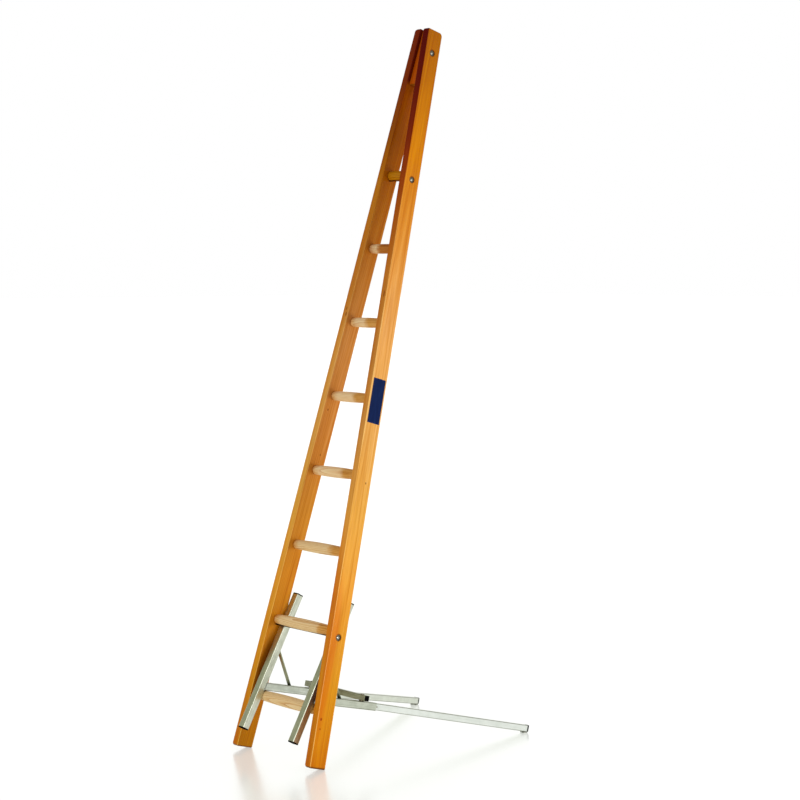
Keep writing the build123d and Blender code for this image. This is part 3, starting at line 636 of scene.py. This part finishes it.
# Painted light and shade: the two sleeves are lighter and darker copies of the one metal, and the cross bar and
# braces are painted darker, as shade
upright_shades = ("b2b5a3", "c3c6b4", "d4d6c5")
sleeve_shades = {"left": ("b4b9ae", "c6cbbf", "d8dcd1"), "right": ("a6ab9b", "b6bbab", "c6cabb")}
bar_shades = ("80826a", "898b73", "92947d")
brace_shades = ("828668", "949779", "a8ab8d")
dress(mill_aluminium("upright", (upright_lean, 0, 0), upright_shades), "left_upright", "right_upright")
for side in sides:
    dress(mill_aluminium(f"{side}_sleeve", (leg_turn, 0, 0), sleeve_shades[side], top_normal=leg_normal),
          f"{side}_leg_sleeve")
dress(mill_aluminium("cross_bar", (0, -pi / 2, 0), bar_shades), "cross_bar")
dress(mill_aluminium("brace", (brace_turn, 0, 0), brace_shades, black_end_place=brace_low.z),
      "left_brace", "right_brace")


# Weld beads: aluminium weld along both sides and the top of the joint between sleeve and upright.
# The torch was moved on in small steps, so each bead is a row of ripples.
weld_radius = 0.0022
weld_step = 0.0016
weld_ripple = 0.16
weld_end = 0.6
upright_run = upright_high - upright_low
upright_half = upright_run.x / 2
upright_up = Vector((0, upright_run.y, upright_run.z)).normalized()
upright_back = Vector((0, upright_up.z, -upright_up.y))
back_face = (upright_low + upright_high) / 2 + upright_back * upright_half
sleeve_under, sleeve_top = extent("right_leg_sleeve", leg_normal)
sleeve_half = (sleeve_top - sleeve_under) / 2
sleeve_axis = Vector((back_face.x, 0, 0)) + leg_normal * (sleeve_top + sleeve_under) / 2
sleeve_start = sleeve_axis + leg_direction * (
    (back_face - sleeve_axis).dot(upright_back) / leg_direction.dot(upright_back))
half_seam = upright_up * sleeve_half / upright_up.dot(leg_normal)
sleeve_across = Vector((sleeve_half, 0, 0))
outer_side = sleeve_start + sleeve_across
inner_side = sleeve_start - sleeve_across
seams = [
    (outer_side - half_seam, outer_side + half_seam),
    (inner_side - half_seam, inner_side + half_seam),
    (inner_side + half_seam, outer_side + half_seam),
]


def weld_run(start, end):
    """A rippled bead from start to end: a small disc drawn out step by step, swelling at every other one."""
    run = end - start
    steps = round(run.length / weld_step)
    bpy.ops.object.select_all(action="DESELECT")
    bpy.ops.mesh.primitive_circle_add(
        vertices=10, radius=weld_radius * weld_end, fill_type="NGON", location=start,
        rotation=run.to_track_quat("Z", "Y").to_euler())
    bpy.ops.object.transform_apply(location=True, rotation=True, scale=True)
    bpy.ops.object.mode_set(mode="EDIT")
    for step in range(steps):
        bpy.ops.mesh.extrude_region_move(TRANSFORM_OT_translate={"value": run / steps})
        if step == 0:
            swell = 1 / weld_end
        elif step == steps - 1:
            swell = weld_end
        else:
            swell = 1 + weld_ripple * (1 if step % 2 else -1)
        middle = start + run * (step + 1) / steps
        bpy.ops.transform.resize(value=(swell, swell, swell), center_override=middle)
    bpy.ops.mesh.select_all(action="SELECT")
    bpy.ops.mesh.normals_make_consistent(inside=False)
    bpy.ops.object.mode_set(mode="OBJECT")
    bpy.ops.object.shade_smooth_by_angle(angle=radians(60))
    return bpy.context.object


def weld_metal():
    """Aluminium weld: duller and greyer than the tube, sooty in patches as large as a ripple."""
    soot_size = 0.003
    material = new_material("weld_metal")
    coords = node(material, "ShaderNodeTexCoord").outputs["Object"]
    soot = node(material, "ShaderNodeTexNoise", {
        "Vector": coords, "Scale": 1 / soot_size, "Detail": 4, "Roughness": 0.7}).outputs["Fac"]
    tone = node(material, "ShaderNodeValToRGB", {"Fac": soot}, stops=[
        (0.35, "5d6058"), (0.65, "b3b6ad")]).outputs["Color"]
    node(material, "Principled BSDF", {"Base Color": tone, "Metallic": 1.0, "Roughness": 0.48})
    return material


bead_metal = weld_metal()
for side, sign in sides.items():
    mirror = Matrix.Diagonal((sign, 1, 1))
    runs = [weld_run(mirror @ start, mirror @ end) for start, end in seams]
    for run in runs:
        run.select_set(True)
    bpy.ops.object.join()
    weld = bpy.context.object
    weld.name = f"{side}_weld"
    weld.data.materials.append(bead_metal)
    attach(weld, "prop")


# Caps, plugs and feet: black moulded plastic pushed into the tube ends, with rubber feet on the legs.
# They came from the mould with a fine matt skin, and floor dust has greyed the soles.
def black_moulding(name, shade, dust=0.0):
    """Moulded black plastic or rubber with a fine spark-eroded skin and grey dust low down.

    The skin's real grain of about 0.1 mm is too fine to show, so it is drawn coarser."""
    skin_grain = 0.0008
    skin_depth = 0.0002
    patch_size = 0.008
    dust_height = 0.009
    material = new_material(name)
    coords = node(material, "ShaderNodeTexCoord").outputs["Object"]
    skin = node(material, "ShaderNodeTexNoise", {
        "Vector": coords, "Scale": 1 / skin_grain, "Detail": 2}).outputs["Fac"]
    patch = node(material, "ShaderNodeTexNoise", {
        "Vector": coords, "Scale": 1 / patch_size, "Detail": 3}).outputs["Fac"]
    level = node(material, "ShaderNodeSeparateXYZ", {"Vector": coords}).outputs["Z"]
    low = node(material, "ShaderNodeMapRange", {
        "Value": level, "From Max": dust_height, "To Min": dust, "To Max": 0.0}).outputs["Result"]
    share = node(material, "ShaderNodeMath", {0: low, 1: patch}, operation="MULTIPLY").outputs[0]
    tone = node(material, "ShaderNodeMixRGB", {
        "Fac": share, "Color1": linear(shade), "Color2": linear("b4b6aa")}).outputs["Color"]
    rough = node(material, "ShaderNodeMapRange", {
        "Value": patch, "To Min": 0.55, "To Max": 0.75}).outputs["Result"]
    bump = node(material, "ShaderNodeBump", {
        "Height": skin, "Strength": 0.2, "Distance": skin_depth}).outputs["Normal"]
    node(material, "Principled BSDF", {
        "Base Color": tone, "Roughness": rough, "Normal": bump, "Specular IOR Level": 0.02})
    return material


cap_plastic = black_moulding("cap_plastic", "050505")
foot_rubber = black_moulding("foot_rubber", "060606", dust=1.6)
for side in sides:
    dress(cap_plastic, f"{side}_top_cap", f"{side}_bottom_cap", f"{side}_end_plug")
    dress(foot_rubber, f"{side}_foot")


# Cross bar fixings: a zinc-plated bolt through the bar, a steel spacer and the top wall of each sleeve.
# They are dull and dark brown.
bolt_zinc = plated_steel("bolt_zinc", "8a8070", "4a3a2a")
for side in sides:
    dress(bolt_zinc, f"{side}_spacer", f"{side}_bolt")


# Legs: smaller aluminium tube that slides into the sleeves and bends outwards behind them.
# A domed button of zinc-plated steel on the side stops each leg at the sleeve's mouth.
sleeve_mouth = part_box("right_leg_sleeve")[1]
leg_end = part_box("right_leg_tube")[1]
leg_bend = atan2(leg_end.x - sleeve_mouth.x, leg_end.y - sleeve_mouth.y)
# Painted light and shade: the two legs are lighter and darker copies of the one metal
leg_shades = {"left": ("ccd0c3", "d6dace", "dee2d6"), "right": ("d5dad3", "dee3dc", "e5e9e3")}
button_zinc = plated_steel("button_zinc", "c8c6bc", "908c82")
for side, sign in sides.items():
    along_leg = (leg_turn, -sign * leg_bend, 0)
    dress(mill_aluminium(f"{side}_leg", along_leg, leg_shades[side], top_normal=leg_normal),
          f"{side}_leg_tube")
    dress(button_zinc, f"{side}_stop_button")


# Stage: a pale glossy floor in a white surround, three soft lamps and the photograph's camera.
# The key lamp stands low on the right, the weak fill lamp in front leaves the floor out, and the edge lamp
# shows in reflections only. So do a dark flag to the front left, above the horizon, and a dim ceiling.
floor_size = 160
near_floor = 0.8
far_floor = 4.0
floor_bounce = 0.61
bpy.ops.mesh.primitive_plane_add(size=floor_size)
floor = bpy.context.object
floor.name = "floor"
floor_finish = new_material("white_floor")
rays = node(floor_finish, "ShaderNodeLightPath").outputs
seen = node(floor_finish, "ShaderNodeMath", {
    0: rays["Is Camera Ray"], 1: rays["Is Glossy Ray"]}, operation="MAXIMUM").outputs[0]
spot = node(floor_finish, "ShaderNodeTexCoord").outputs["Object"]
away = node(floor_finish, "ShaderNodeVectorMath", {0: spot}, operation="LENGTH").outputs["Value"]
shown = node(floor_finish, "ShaderNodeMapRange", {
    "Value": away, "From Min": near_floor, "From Max": far_floor,
    "To Min": 0.65, "To Max": 0.78}).outputs["Result"]
glow = node(floor_finish, "ShaderNodeMapRange", {
    "Value": seen, "To Min": floor_bounce, "To Max": shown}).outputs["Result"]
node(floor_finish, "Principled BSDF", {
    "Base Color": linear("9c9c98"), "Roughness": 0.26, "Coat Weight": 1.0, "Coat Roughness": 0.2,
    "Emission Color": linear("fcfffb"), "Emission Strength": glow})
floor.data.materials.append(floor_finish)

white = linear("ffffff")
flag_side = Vector((-0.744, -0.668, 0))
ambient = 0.62
world = bpy.data.worlds.new("studio")
bpy.context.scene.world = world
world.use_nodes = True
rays = node(world, "ShaderNodeLightPath").outputs
outlook = node(world, "ShaderNodeTexCoord").outputs["Generated"]
facing = node(world, "ShaderNodeVectorMath", {
    0: outlook, 1: flag_side}, operation="DOT_PRODUCT").outputs["Value"]
toward_flag = node(world, "ShaderNodeMapRange", {
    "Value": facing, "From Min": 0.3, "From Max": 0.75}, interpolation_type="SMOOTHSTEP").outputs["Result"]
rise = node(world, "ShaderNodeSeparateXYZ", {"Vector": outlook}).outputs["Z"]
lift = node(world, "ShaderNodeMapRange", {
    "Value": rise, "From Min": 0.12, "From Max": 0.34}, interpolation_type="SMOOTHSTEP").outputs["Result"]
flag = node(world, "ShaderNodeMath", {0: toward_flag, 1: lift}, operation="MULTIPLY").outputs[0]
ceiling = node(world, "ShaderNodeMapRange", {
    "Value": rise, "From Min": 0.35, "From Max": 0.8}, interpolation_type="SMOOTHSTEP").outputs["Result"]
dimmed = node(world, "ShaderNodeMath", {0: flag, 1: ceiling}, operation="MAXIMUM").outputs[0]
mirrored = node(world, "ShaderNodeMixRGB", {
    "Fac": dimmed, "Color1": white, "Color2": linear("9ea181")}).outputs["Color"]
colour = node(world, "ShaderNodeMixRGB", {
    "Fac": rays["Is Glossy Ray"], "Color1": white, "Color2": mirrored}).outputs["Color"]
strength = node(world, "ShaderNodeMapRange", {
    "Value": rays["Is Diffuse Ray"], "To Min": 1.0, "To Max": ambient}).outputs["Result"]
node(world, "Background", {"Color": colour, "Strength": strength})

# Without sampling of its own the world always knows which kind of ray looks at it
world.cycles.sampling_method = "NONE"


def soft_lamp(name, watts, width, height, place, aim):
    """A rectangular lamp that points at what it lights and that the camera doesn't see."""
    light = bpy.data.lights.new(name, "AREA")
    light.energy = watts
    light.shape = "RECTANGLE"
    light.size = width
    light.size_y = height
    lamp = bpy.data.objects.new(name, light)
    bpy.context.scene.collection.objects.link(lamp)
    lamp.location = place
    lamp.rotation_euler = (aim - lamp.location).to_track_quat("-Z", "Y").to_euler()
    lamp.visible_camera = False
    return lamp


ladder_middle = Vector((0, 0, 0.95))
lower_rungs = Vector((0, -0.2, 0.7))
key_lamp = soft_lamp("key", watts=43, width=2.4, height=0.8, place=(2.7, 0.8, 0.5), aim=ladder_middle)
key_lamp.visible_glossy = False
fill_lamp = soft_lamp("fill", watts=8, width=1.0, height=1.0, place=(0, -2.4, 0.5), aim=lower_rungs)
fill_lamp.visible_glossy = False
unlit = bpy.data.collections.new("unlit")
unlit.objects.link(floor)
unlit.collection_objects[0].light_linking.link_state = "EXCLUDE"
fill_lamp.light_linking.receiver_collection = unlit
edge_lamp = soft_lamp("edge", watts=30, width=2.0, height=1.6, place=(2.4, -1.9, 1.0), aim=lower_rungs)
edge_lamp.visible_diffuse = False

camera_offset = Vector((4.6808, -3.71985, 1.37977))
camera_yaw = 48.13
camera_pitch = -3.96
focal_pixels = 1896
image_pixels = 800
camera = bpy.data.cameras.new("camera")
camera.sensor_width = 36
camera.lens = camera.sensor_width * focal_pixels / image_pixels
camera_stand = bpy.data.objects.new("camera", camera)
bpy.context.scene.collection.objects.link(camera_stand)
camera_stand.location = rung_1 + camera_offset
camera_stand.rotation_euler = (radians(90 + camera_pitch), 0, radians(camera_yaw))
bpy.context.scene.camera = camera_stand
bpy.context.scene.view_settings.view_transform = "Standard"
